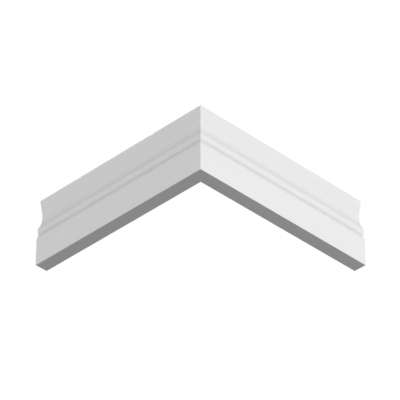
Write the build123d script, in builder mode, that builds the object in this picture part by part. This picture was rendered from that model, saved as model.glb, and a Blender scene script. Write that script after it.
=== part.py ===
from build123d import *

import os
from math import cos, radians, sin, sqrt

# Outside corner of skirting board: two lengths of one moulded section, mitred together.
# Millimetres, Z up, standing on the bottom edges. The corner of the wall meets the floor
# at the origin. The left length runs along -X, the right length runs along +Y.

# Board
board_height = 96.0
board_thickness = 18.0
length_on_front = 279.0
wall_corner = 90.0

# Moulded face, from the top of the plain plinth to the top of the board.
# Rises are heights, setbacks are measured back from the plinth face.
moulding_height = 61.0
quirk_rise = 8.6
bead_rise = 6.2
bead_setback = 1.3
bead_radius = 12.5
bead_upper_angle = 32.0
cove_radius = 30.5
cove_upper_angle = 13.0
lip_setback = 3.9
lip_face = 2.4
top_round = 1.2

# The plinth is what the moulding leaves of the board, and the lip is measured from the top
plinth_height = board_height - moulding_height
lip_height = board_height - lip_face

# The bead's front line stands above the quirk, where its underside runs in to the plinth
bead_height = plinth_height + quirk_rise + bead_rise
bead_front = (bead_setback, bead_height)
quirk_setback = bead_setback + bead_radius - sqrt(bead_radius**2 - bead_rise**2)
quirk = (quirk_setback, bead_height - bead_rise)

# Above its front line the bead leans back into the cove
lean = radians(bead_upper_angle)
bead_top = (
    bead_setback + bead_radius * (1 - cos(lean)),
    bead_height + bead_radius * sin(lean),
)
cove_turn = bead_upper_angle + cove_upper_angle

# Section of the board, front face towards -X and floor along X
with BuildSketch(Plane.XY) as section:
    with BuildLine():
        plinth = Line((0, 0), (0, plinth_height))
        TangentArc(plinth @ 1, quirk, tangent=plinth % 1)
        bead = ThreePointArc(quirk, bead_front, bead_top)
        cove = JernArc(bead @ 1, bead % 1, cove_radius, cove_turn)
        sweep = TangentArc(cove @ 1, (lip_setback, lip_height), tangent=cove % 1)
        Polyline(
            sweep @ 1,
            (lip_setback, board_height),
            (board_thickness, board_height),
            (board_thickness, 0),
            (0, 0),
        )
    make_face()
    top_edge = section.vertices().group_by(Axis.Y)[-1]
    fillet(top_edge.sort_by(Axis.X)[0], radius=top_round)

# Both lengths are cut on the plane that halves the corner of the wall
mitre_plane = Plane.YZ.rotated((0, 0, wall_corner / 2))
run = length_on_front - board_thickness

# Left length: square sawn at its far end, back face on the plane Y = 0
left_end = Plane(origin=(-run, -board_thickness, 0), x_dir=(0, 1, 0), z_dir=(1, 0, 0))
with BuildPart() as left_length:
    with BuildSketch(left_end):
        add(section.sketch)
    extrude(amount=length_on_front)
    split(bisect_by=mitre_plane, keep=Keep.BOTTOM)

# Right length: square sawn at its far end, back face on the plane X = 0
right_end = Plane(origin=(board_thickness, run, 0), x_dir=(-1, 0, 0), z_dir=(0, 1, 0))
with BuildPart() as right_length:
    with BuildSketch(right_end):
        add(section.sketch)
    extrude(amount=-length_on_front)
    split(bisect_by=mitre_plane, keep=Keep.TOP)

os.makedirs("parts", exist_ok=True)
left_length.part.label = "left_length"
export_step(left_length.part, "parts/left_length.step")
right_length.part.label = "right_length"
export_step(right_length.part, "parts/right_length.step")
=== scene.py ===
from math import asin, cos, pi, radians, sin, sqrt

import bmesh
import bpy
import numpy as np
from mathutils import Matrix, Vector
from mathutils.geometry import delaunay_2d_cdt


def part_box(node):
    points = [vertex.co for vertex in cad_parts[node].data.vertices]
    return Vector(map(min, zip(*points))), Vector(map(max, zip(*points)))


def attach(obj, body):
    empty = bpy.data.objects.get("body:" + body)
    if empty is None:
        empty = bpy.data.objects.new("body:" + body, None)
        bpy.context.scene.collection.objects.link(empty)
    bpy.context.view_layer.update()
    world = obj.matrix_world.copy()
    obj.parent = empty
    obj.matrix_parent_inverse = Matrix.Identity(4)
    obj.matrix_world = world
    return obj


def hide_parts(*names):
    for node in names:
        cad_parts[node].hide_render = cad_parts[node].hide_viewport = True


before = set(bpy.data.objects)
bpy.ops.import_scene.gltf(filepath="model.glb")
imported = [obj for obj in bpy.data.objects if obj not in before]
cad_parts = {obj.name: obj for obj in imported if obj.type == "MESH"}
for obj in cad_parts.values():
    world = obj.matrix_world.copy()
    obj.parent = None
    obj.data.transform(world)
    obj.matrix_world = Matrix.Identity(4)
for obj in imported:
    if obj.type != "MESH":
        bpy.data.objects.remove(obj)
bpy.context.view_layer.update()

# The left length. Medium-density fibreboard, run through a moulder to a plain plinth, a quirk, a
# bead and a cove under a narrow lip, then cut square at its far end and at 45 degrees at the
# corner. The two lengths are glued there, and the joint is filled and sanded before painting.

MM = 0.001
thickness = -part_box("left_length")[0].y
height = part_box("left_length")[1].z
run = -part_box("left_length")[0].x

plinth_top = height - 61 * MM
quirk_rise = 8.6 * MM
bead_rise = 6.2 * MM
bead_setback = 1.3 * MM
bead_radius = 12.5 * MM
bead_lean = radians(32)
cove_radius = 30.5 * MM
cove_lean = radians(13)
lip_setback = 3.9 * MM
lip_bottom = height - 2.4 * MM
top_round = 1.2 * MM

# Sanding before the paint rounds every sharp arris by this much, and more points this far
# inside the edges of a flat keep its shading flat
arris_round = 0.2 * MM
flat_margin = 0.3 * MM


def bend(start, heading, radius, turn, step):
    """Arc that leaves start at angle heading and turns by turn, left where both are positive. At
    heading h its point is start + radius * (sin h - sin heading, cos heading - cos h)."""
    pieces = max(2, int(abs(turn) / step + 0.5))
    h = heading + turn * np.arange(1, pieces + 1) / pieces
    return start + radius * np.stack((np.sin(h) - sin(heading), cos(heading) - np.cos(h)), axis=1)


def bend_to(start, heading, end, step):
    """Arc from start at angle heading to end. It turns by twice the angle a between heading and
    the chord, and its radius is the chord over 2 sin a."""
    chord = np.subtract(end, start)
    a = np.arctan2(chord[1], chord[0]) - heading
    return bend(start, heading, np.hypot(*chord) / (2 * sin(a)), 2 * a, step)


def flat(start, end, parts=1):
    """Straight run from start to end in equal parts, start + share * (end - start), with one more
    point just inside each end."""
    along = np.subtract(end, start)
    margin = flat_margin / np.hypot(*along)
    share = np.concatenate(([margin], np.arange(1, parts) / parts, [1 - margin, 1]))
    return start + share[:, None] * along


def board_section():
    """Outline of the section, clockwise from the foot of the plinth: column 0 is the distance
    behind the plinth's face and column 1 the height. Arcs and flats follow one another."""
    up, fine, coarse, back_strips = pi / 2, radians(2.5), radians(15), 10
    a, t, h = arris_round, thickness, height
    bead_front = plinth_top + quirk_rise + bead_rise
    under_bead = asin(bead_rise / bead_radius)
    quirk = (bead_setback + bead_radius * (1 - cos(under_bead)), bead_front - bead_rise)

    foot = bend((a, 0), pi, -a, -up, coarse)
    plinth = flat(foot[-1], (0, plinth_top))
    ease = bend_to(plinth[-1], up, quirk, fine)
    bead = bend(ease[-1], up + under_bead, -bead_radius, -under_bead - bead_lean, fine)
    cove = bend(bead[-1], up - bead_lean, cove_radius, bead_lean + cove_lean, fine)
    sweep = bend_to(cove[-1], up + cove_lean, (lip_setback, lip_bottom), fine)
    lip = flat(sweep[-1], (lip_setback, h - top_round))
    nose = bend(lip[-1], up, -top_round, -up, coarse)
    top = flat(nose[-1], (t - a, h))
    top_back = bend(top[-1], 0, -a, -up, coarse)
    back = flat(top_back[-1], (t, a), parts=back_strips)
    heel = bend(back[-1], -up, -a, -up, coarse)
    underside = flat(heel[-1], (a, 0))
    return np.concatenate((foot, plinth, ease, bead, cove, sweep, lip, nose, top, top_back, back,
                           heel, underside))


def inward_normals(outline):
    """Unit normals into the board: where a side of the outline heads along (a, b), its normal is
    (b, -a), and a point takes the mean of its two sides' normals."""
    ahead = np.roll(outline, -1, axis=0) - outline
    ahead /= np.hypot(ahead[:, 0], ahead[:, 1])[:, None]
    inwards = np.stack((ahead[:, 1], -ahead[:, 0]), axis=1)
    inwards += np.roll(inwards, 1, axis=0)
    return inwards / np.hypot(inwards[:, 0], inwards[:, 1])[:, None]


def straight_run(outline, inwards):
    """The section carried along -X, as a grid of stations by outline points. At the sawn end the
    stations shrink inwards on a quarter circle. At the mitre they turn on an eighth of one of
    radius r, from the face to the plane x = -y, so both lengths share one eased corner."""
    out = thickness - outline[:, 0]
    every_point = np.ones_like(out)

    # The sawn end, with its arris
    quarter = radians(90) * np.array((1, 2 / 3, 1 / 3, 0, 0))[:, None]
    shrink = arris_round * (1 - np.cos(quarter))
    margin_end = np.array((0, 0, 0, 0, flat_margin))[:, None]
    x_end = (-run + arris_round * (1 - np.sin(quarter)) + margin_end) * every_point
    y_end = outline[:, 0] + shrink * inwards[:, 0] - thickness
    height_end = outline[:, 1] + shrink * inwards[:, 1]

    # Between the ends it is straight, with more stations where the air round it changes
    from_sawn = np.array((2, 5, 10, 20, 40))[:, None] * MM
    from_mitre = np.array((110, 80, 55, 38, 26, 17, 10, 5, 2))[:, None] * MM
    x_run = np.concatenate(((-run + from_sawn) * every_point, out - from_mitre))
    y_run = np.broadcast_to(-out, x_run.shape)
    height_run = np.broadcast_to(outline[:, 1], x_run.shape)

    # The mitre, whose arris gets sharper over the last few millimetres to the wall's corner
    sharpens_within = 5 * MM
    eighth = radians(45) * np.array((0, 0, 0.25, 0.5, 0.75, 1))[:, None]
    r = arris_round * np.clip(out / sharpens_within, 0, 1)
    margin_mitre = np.array((flat_margin, 0, 0, 0, 0, 0))[:, None]
    x_mitre = out - r + r * np.sin(eighth) - margin_mitre
    y_mitre = -(out - r + r * np.cos(eighth))
    height_mitre = np.broadcast_to(outline[:, 1], x_mitre.shape)

    return (np.concatenate((x_end, x_run, x_mitre)), np.concatenate((y_end, y_run, y_mitre)),
            np.concatenate((height_end, height_run, height_mitre)))


def open_air(outline, inwards, x, y, z):
    """Share of the open air that each point of the grid sees, weighted by the cosine to its
    normal. In the section, p and q are the angles from the normal to the highest edge on either
    side, and a long moulding leaves (sin p + sin q) / 2 open. An edge at distance w that stops at
    distance e along the run hides T(e / w) of what a long one does, summed over both ends, with
    T(k) = (t + sin t cos t) / pi and tan t = k. The other length's back, at right angles at
    distance d, hides sum(arctan(b / d) - d / c * arctan(b / c)) / (2 pi) from a point on this
    one's back, where b is its height above and below the point and c its far edge's distance."""
    micron = 0.001 * MM
    towards = outline[None, :] - outline[:, None]
    out = -(towards * inwards[:, None]).sum(axis=2)
    along = towards[..., 0] * inwards[:, None, 1] - towards[..., 1] * inwards[:, None, 0]
    to_sawn_end = x + run
    to_mitre = np.clip(-y - x, 0, None)
    hidden = np.zeros_like(x)
    for side in (-1, 1):
        rises = (out > micron) & (along * side > micron)
        slope = np.where(rises, out / np.where(rises, np.abs(along), 1), 0)
        edge = slope.argmax(axis=1)
        here = np.arange(len(outline))
        steepness = slope[here, edge]
        distance = np.maximum(np.hypot(out[here, edge], along[here, edge]), micron)
        share = np.zeros_like(x)
        for reach in (to_sawn_end, to_mitre):
            t = np.arctan(np.clip(reach, 0, None) / distance)
            share += (t + np.sin(t) * np.cos(t)) / pi
        hidden += (1 - 1 / np.sqrt(1 + steepness**2)) / 2 * share
    on_back = y > -micron
    d = np.maximum(-x, micron)
    c = np.hypot(d, run)
    for b in (z, height - z):
        hidden += on_back * (np.arctan(b / d) - d / c * np.arctan(b / c)) / (2 * pi)
    return 1 - hidden


def moulded_length(name, mirrored):
    """The grid of stations joined into quads, and closed by the section's own triangles at the
    sawn end and the mitre. The right length is the left one with (x, y) turned into (-y, -x)."""
    outline = board_section()
    inwards = inward_normals(outline)
    x, y, z = straight_run(outline, inwards)
    air = open_air(outline, inwards, x, y, z)
    if mirrored:
        x, y = -y, -x
    stations, points = x.shape
    station, point = np.meshgrid(np.arange(stations - 1), np.arange(points), indexing="ij")
    after = (point + 1) % points
    quads = np.stack((station * points + point, (station + 1) * points + point,
                      (station + 1) * points + after, station * points + after), axis=-1)
    quads = quads.reshape(-1, 4)
    # The two cut faces are the outline's own triangles, turned to face outwards
    inside_only, same_point = 1, 0.001 * MM
    triangles = np.array(delaunay_2d_cdt(
        outline.tolist(), [], [list(range(points))], inside_only, same_point)[2])
    cuts = np.concatenate((triangles[:, ::-1], triangles + (stations - 1) * points))
    if mirrored:
        quads, cuts = quads[:, ::-1], cuts[:, ::-1]

    mesh = bpy.data.meshes.new(name)
    vertices = np.stack((x, y, z), axis=-1).reshape(-1, 3)
    mesh.from_pydata(vertices.tolist(), [], quads.tolist() + cuts.tolist())
    # The share of open air goes onto the mesh, where the paint reads it to paint shade into the
    # white
    mesh.attributes.new("open_air", "FLOAT", "POINT").data.foreach_set("value", air.ravel())
    # The stations meet where r is 0, along the back edge of the mitre, and are joined there
    merged_within = 0.01 * MM
    joined = bmesh.new()
    joined.from_mesh(mesh)
    bmesh.ops.remove_doubles(joined, verts=joined.verts, dist=merged_within)
    joined.to_mesh(mesh)
    joined.free()
    sharp_edge = radians(40)
    mesh.set_sharp_from_angle(angle=sharp_edge)
    # The two cut faces are flat, and everything between them is smooth
    facing = np.zeros(3 * len(mesh.polygons))
    mesh.polygons.foreach_get("normal", facing)
    across_cuts = np.array(((0, 1, 0) if mirrored else (1, 0, 0), (sqrt(0.5), sqrt(0.5), 0)))
    square_to_cut = 0.9999
    on_cut = np.abs(facing.reshape(-1, 3) @ across_cuts.T).max(axis=1) > square_to_cut
    mesh.polygons.foreach_set("use_smooth", ~on_cut)
    piece = bpy.data.objects.new(name, mesh)
    bpy.context.scene.collection.objects.link(piece)
    return piece


def linear(hex_colour):
    """An sRGB colour written #RRGGBB as the linear red, green, blue and alpha of a shader."""
    channels = [int(hex_colour[i:i + 2], 16) / 255 for i in (1, 3, 5)]
    return [c / 12.92 if c <= 0.04045 else ((c + 0.055) / 1.055) ** 2.4 for c in channels] + [1.0]


def add_node(tree, kind, inputs, output=0, **settings):
    """Adds a node with its settings, puts a value or a link into each input, and gives back
    one of its outputs."""
    node = tree.nodes.new(kind)
    for name, value in settings.items():
        setattr(node, name, value)
    for name, value in inputs.items():
        if isinstance(value, bpy.types.NodeSocket):
            tree.links.new(value, node.inputs[name])
        else:
            node.inputs[name].default_value = value
    return node.outputs[output] if node.outputs else None


def painted_board(name, quarter_turns):
    """Acrylic eggshell sprayed on MDF: an even white with a low sheen, a very fine orange peel
    and the moulder's faint lines under it. The back has one thin, creamier coat over the
    sander's lines, and the sawn end soaks its coat up and shows the saw's arcs and the fibres.
    The Mapping turns the length so that u runs from the corner to the sawn end, v across the
    thickness from the wall, and w up from the floor, all in metres."""
    material = bpy.data.materials.new(name)
    material.use_nodes = True
    tree = material.node_tree
    tree.nodes.clear()
    place = add_node(tree, "ShaderNodeTexCoord", {}, "Object")
    turned = add_node(tree, "ShaderNodeMapping", {
        "Vector": place, "Rotation": (0, 0, quarter_turns * pi / 2)})
    u = add_node(tree, "ShaderNodeSeparateXYZ", {"Vector": turned}, "X")
    across = add_node(tree, "ShaderNodeSeparateXYZ", {"Vector": turned}, "Y")
    w = add_node(tree, "ShaderNodeSeparateXYZ", {"Vector": turned}, "Z")
    v = add_node(tree, "ShaderNodeMath", {0: across}, operation="ABSOLUTE")

    # Where each finish lies: the sawn end, the back, the moulded band, and a hair at the mitre
    sawn = add_node(tree, "ShaderNodeMapRange", {
        "Value": u, "From Min": run - 0.20 * MM, "From Max": run - 0.05 * MM})
    back = add_node(tree, "ShaderNodeMapRange", {
        "Value": v, "From Min": 0.30 * MM, "From Max": 0.10 * MM})
    above_plinth = add_node(tree, "ShaderNodeMapRange", {
        "Value": w, "From Min": plinth_top, "From Max": plinth_top + 2 * MM})
    below_lip = add_node(tree, "ShaderNodeMapRange", {
        "Value": w, "From Min": lip_bottom + 1 * MM, "From Max": lip_bottom - 1 * MM})
    moulded = add_node(tree, "ShaderNodeMath", {
        0: above_plinth, 1: below_lip}, operation="MULTIPLY")
    from_mitre = add_node(tree, "ShaderNodeMath", {0: u, 1: v}, operation="ADD")
    joint = add_node(tree, "ShaderNodeMapRange", {
        "Value": from_mitre, "From Min": 0.20 * MM, "From Max": 0.05 * MM})

    # The grains of the finish: each one's size across and along the run, and its detail
    grains = {
        "orange_peel": (2.2 * MM, 2.2 * MM, 2),
        "moulder_lines": (0.9 * MM, 55 * MM, 2),
        "sander_lines": (0.7 * MM, 28 * MM, 2),
        "fibres": (0.6 * MM, 0.6 * MM, 4),
        "patches": (70 * MM, 210 * MM, 2),
        "streaks": (1.5 * MM, 40 * MM, 2),
        "sheen_drift": (9 * MM, 36 * MM, 2),
    }
    finish = {}
    for grain, (across_run, along_run, detail) in grains.items():
        fitted = add_node(tree, "ShaderNodeMapping", {
            "Vector": turned, "Scale": (1 / along_run, 1 / across_run, 1 / across_run)})
        finish[grain] = add_node(tree, "ShaderNodeTexNoise", {
            "Vector": fitted, "Scale": 1, "Detail": detail})

    # The saw's teeth leave arcs about its arbor, which turns above the board
    arbor_across, arbor_height, saw_pitch = -60 * MM, 150 * MM, 2.4 * MM
    from_arbor = add_node(tree, "ShaderNodeMapping", {
        "Vector": turned, "Location": (0, -arbor_across, -arbor_height), "Scale": (0, 1, 1)})
    saw_arcs = add_node(tree, "ShaderNodeTexWave", {
        "Vector": from_arbor, "Scale": 1 / (pi * saw_pitch), "Distortion": 1.5, "Detail": 2,
        "Detail Scale": 1.5}, wave_type="RINGS", rings_direction="X")

    # Relief, in metres, drawn two or three times as coarse and deep as real so that it shows
    peel_depth, joint_depth = 0.010 * MM, -0.030 * MM
    relief = add_node(tree, "ShaderNodeMath", {
        0: finish["orange_peel"], 1: peel_depth}, operation="MULTIPLY")
    relief = add_node(tree, "ShaderNodeMath", {
        0: joint, 1: joint_depth, 2: relief}, operation="MULTIPLY_ADD")
    for marks, mask, depth in ((finish["moulder_lines"], moulded, 0.020 * MM),
                               (finish["sander_lines"], back, 0.030 * MM),
                               (saw_arcs, sawn, 0.025 * MM),
                               (finish["fibres"], sawn, 0.080 * MM)):
        swing = add_node(tree, "ShaderNodeMath", {0: marks, 1: 0.5}, operation="SUBTRACT")
        here = add_node(tree, "ShaderNodeMath", {0: swing, 1: mask}, operation="MULTIPLY")
        relief = add_node(tree, "ShaderNodeMath", {
            0: here, 1: depth, 2: relief}, operation="MULTIPLY_ADD")
    bumpy = add_node(tree, "ShaderNodeBump", {"Height": relief, "Strength": 1, "Distance": 1})

    # A Mix node's sockets share their names, so its inputs and its colour output go by number
    factor, value_a, value_b, colour_a, colour_b, mixed_colour = 0, 2, 3, 6, 7, 2

    # The paint drifts a little in patches a hand wide, and the thin coats more and finer
    coats = {}
    for coat, grain, darker, paler in (("sprayed", "patches", "#F0F0EF", "#F4F4F4"),
                                       ("thin", "streaks", "#E7E3D9", "#F0EDE5"),
                                       ("soaked", "fibres", "#D2C6B0", "#EBE5D8")):
        coats[coat] = add_node(tree, "ShaderNodeMix", {
            factor: finish[grain], colour_a: linear(darker), colour_b: linear(paler)},
            mixed_colour, data_type="RGBA")

    # The press packs the board's two faces harder than its middle, and they soak up darker
    packed_depth, packed_share = 5 * MM, 0.45
    from_middle = add_node(tree, "ShaderNodeMath", {0: v, 1: thickness / 2}, operation="SUBTRACT")
    off_middle = add_node(tree, "ShaderNodeMath", {0: from_middle}, operation="ABSOLUTE")
    packed = add_node(tree, "ShaderNodeMapRange", {
        "Value": off_middle, "From Min": thickness / 2 - packed_depth, "From Max": thickness / 2,
        "To Min": 0, "To Max": packed_share}, interpolation_type="SMOOTHSTEP")

    # Each coat lies over the last, and the filler's grey shows a fifth through the paint
    filler_share = 0.2
    filled = add_node(tree, "ShaderNodeMath", {0: joint, 1: filler_share}, operation="MULTIPLY")
    soaked = add_node(tree, "ShaderNodeMix", {
        factor: packed, colour_a: coats["soaked"], colour_b: linear("#C4B493")},
        mixed_colour, data_type="RGBA")
    colour = coats["sprayed"]
    for mask, coat in ((back, coats["thin"]), (sawn, soaked), (filled, linear("#CFCDC8"))):
        colour = add_node(tree, "ShaderNodeMix", {
            factor: mask, colour_a: colour, colour_b: coat}, mixed_colour, data_type="RGBA")

    # Painted shade: where the moulding hides some of the open air, the white is painted darker,
    # standing in for the shade that falls in the quirk and the cove. The two backs face each
    # other and share their light, so there the painted shade is weaker.
    front_shade_power, back_shade_power = 1.25, 0.70
    air = add_node(tree, "ShaderNodeAttribute", {}, "Fac", attribute_name="open_air")
    open_end = add_node(tree, "ShaderNodeMath", {0: air, 1: sawn}, operation="MAXIMUM")
    shade_power = add_node(tree, "ShaderNodeMath", {
        0: back, 1: back_shade_power - front_shade_power, 2: front_shade_power}, operation="MULTIPLY_ADD")
    painted_shade = add_node(tree, "ShaderNodeMath", {0: open_end, 1: shade_power}, operation="POWER")
    colour = add_node(tree, "ShaderNodeMix", {
        factor: painted_shade, colour_a: linear("#000000"), colour_b: colour},
        mixed_colour, data_type="RGBA")

    # Eggshell has a low sheen that drifts a little, and the thin and soaked coats are dull
    paint_roughness = add_node(tree, "ShaderNodeMapRange", {
        "Value": finish["sheen_drift"], "To Min": 0.62, "To Max": 0.70})
    dull = add_node(tree, "ShaderNodeMath", {0: sawn, 1: back}, operation="MAXIMUM")
    roughness = add_node(tree, "ShaderNodeMix", {
        factor: dull, value_a: paint_roughness, value_b: 0.85})
    surface = add_node(tree, "ShaderNodeBsdfPrincipled", {
        "Base Color": colour, "Roughness": roughness, "Specular IOR Level": 0.3, "Normal": bumpy})
    add_node(tree, "ShaderNodeOutputMaterial", {"Surface": surface})
    return material


left_board = moulded_length("left_board", mirrored=False)
left_board.data.materials.append(painted_board("eggshell_paint_on_mdf_left", 2))
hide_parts("left_length")
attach(left_board, "root")

# The right length. The same stock and finish as the left one, cut as its mirror image, so its
# saw arcs, sanding lines and patches of paint lie their own way round.

right_board = moulded_length("right_board", mirrored=True)
right_board.data.materials.append(painted_board("eggshell_paint_on_mdf_right", -1))
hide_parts("right_length")
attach(right_board, "root")

# The floor. A pale studio sheet that only the camera sees, and only from above, so that the
# board's underside shows from below. It fades into the white backdrop and keeps the shadow.

floor_radius = 3.0
floor_drop = 0.2 * MM
floor_sides = 96
fade_start, fade_end = 0.35, 1.6
paper_glow = 0.44

# The rim is floor_radius * (cos g, sin g) at even angles g
g = 2 * pi * np.arange(floor_sides) / floor_sides
rim = np.stack((floor_radius * np.cos(g), floor_radius * np.sin(g), 0 * g - floor_drop), axis=1)
floor_mesh = bpy.data.meshes.new("floor")
floor_mesh.from_pydata(rim.tolist(), [], [list(range(floor_sides))])
floor = bpy.data.objects.new("floor", floor_mesh)
bpy.context.scene.collection.objects.link(floor)

floor_paper = bpy.data.materials.new("pale_studio_paper")
floor_paper.use_nodes = True
tree = floor_paper.node_tree
tree.nodes.clear()
middle = add_node(tree, "ShaderNodeTexCoord", {}, "Object")
away = add_node(tree, "ShaderNodeVectorMath", {0: middle}, "Value", operation="LENGTH")
kept = add_node(tree, "ShaderNodeMapRange", {
    "Value": away, "From Min": fade_start, "From Max": fade_end, "To Min": 1, "To Max": 0},
    interpolation_type="SMOOTHSTEP")
underneath = add_node(tree, "ShaderNodeNewGeometry", {}, "Backfacing")
on_top = add_node(tree, "ShaderNodeMath", {0: 1, 1: underneath}, operation="SUBTRACT")
by_camera = add_node(tree, "ShaderNodeLightPath", {}, "Is Camera Ray")
seen = add_node(tree, "ShaderNodeMath", {0: on_top, 1: by_camera}, operation="MULTIPLY")
shown = add_node(tree, "ShaderNodeMath", {0: seen, 1: kept}, operation="MULTIPLY")
matt = add_node(tree, "ShaderNodeBsdfDiffuse", {"Color": linear("#F6F6F4")})
glow = add_node(tree, "ShaderNodeEmission", {"Color": linear("#FFFFFF"), "Strength": paper_glow})
paper = add_node(tree, "ShaderNodeAddShader", {0: matt, 1: glow})
clear = add_node(tree, "ShaderNodeBsdfTransparent", {})
sheet = add_node(tree, "ShaderNodeMixShader", {0: shown, 1: clear, 2: paper})
add_node(tree, "ShaderNodeOutputMaterial", {"Surface": sheet})
floor_mesh.materials.append(floor_paper)

# The backdrop and the room's light. The camera and reflections see plain white. What lights
# the board is a much dimmer, even light, as in the photograph's dark underside.

world = bpy.data.worlds.new("studio")
bpy.context.scene.world = world
world.use_nodes = True
tree = world.node_tree
tree.nodes.clear()
by_camera = add_node(tree, "ShaderNodeLightPath", {}, "Is Camera Ray")
in_gloss = add_node(tree, "ShaderNodeLightPath", {}, "Is Glossy Ray")
through = add_node(tree, "ShaderNodeLightPath", {}, "Is Transmission Ray")
seen = add_node(tree, "ShaderNodeMath", {0: by_camera, 1: in_gloss}, operation="MAXIMUM")
seen = add_node(tree, "ShaderNodeMath", {0: seen, 1: through}, operation="MAXIMUM")
ambient = add_node(tree, "ShaderNodeBackground", {"Color": linear("#FFFFFF"), "Strength": 0.02})
backdrop = add_node(tree, "ShaderNodeBackground", {"Color": linear("#FFFFFF"), "Strength": 1})
sky = add_node(tree, "ShaderNodeMixShader", {0: seen, 1: ambient, 2: backdrop})
add_node(tree, "ShaderNodeOutputWorld", {"Surface": sky})


def lamp(name, azimuth, elevation, strength, spread):
    """A broad, distant soft light. Azimuth 0 shines from -Y and 90 from +X, all in degrees."""
    data = bpy.data.lights.new(name, "SUN")
    data.energy = strength
    data.angle = radians(spread)
    made = bpy.data.objects.new(name, data)
    a, e = radians(azimuth), radians(elevation)
    towards_lamp = Vector((sin(a) * cos(e), -cos(a) * cos(e), sin(e)))
    made.rotation_mode = "QUATERNION"
    made.rotation_quaternion = towards_lamp.to_track_quat("Z", "Y")
    bpy.context.scene.collection.objects.link(made)


# The key stands almost level with the board and a little right of the corner, so the right
# length is the brighter one. A weak lamp straight below lifts the underside. Two more, behind,
# light the top, the back and the sawn ends without reaching the moulded faces.
lamp("key", azimuth=56.1, elevation=-3, strength=3.46, spread=20)
lamp("under", azimuth=45, elevation=-90, strength=0.46, spread=8)
lamp("rear_high", azimuth=227, elevation=46, strength=3.2, spread=12)
lamp("rear_level", azimuth=222, elevation=5, strength=0.7, spread=30)

# The camera stands where the photograph was taken from: below floor level, on the line that
# halves the corner, looking up, far off with a long lens so that upright edges nearly stay so.

look_up = radians(35.022)
half_corner = radians(45)
camera_distance = 34.094 * height
camera_lift = -0.3678 * height
photo_width = 400
focal_pixels = 2874.0
sideways_pixels = -0.68
sideways = sideways_pixels / focal_pixels * camera_distance

ahead = Vector((-sin(half_corner), cos(half_corner), 0))
right = Vector((cos(half_corner), sin(half_corner), 0))
aim = ahead * cos(look_up) + Vector((0, 0, sin(look_up)))
up = Vector((0, 0, cos(look_up))) - ahead * sin(look_up)
foot_of_arris = Vector((thickness, -thickness, 0))
camera_data = bpy.data.cameras.new("camera")
camera_data.sensor_width = 36
camera_data.lens = focal_pixels / photo_width * camera_data.sensor_width
camera_data.clip_start = 0.1
camera_data.clip_end = 50
camera = bpy.data.objects.new("camera", camera_data)
camera.location = foot_of_arris - aim * camera_distance + up * camera_lift + right * sideways
camera.rotation_mode = "QUATERNION"
camera.rotation_quaternion = aim.to_track_quat("-Z", "Y")
bpy.context.scene.collection.objects.link(camera)
bpy.context.scene.camera = camera
bpy.context.scene.view_settings.view_transform = "Standard"

bpy.context.view_layer.update()
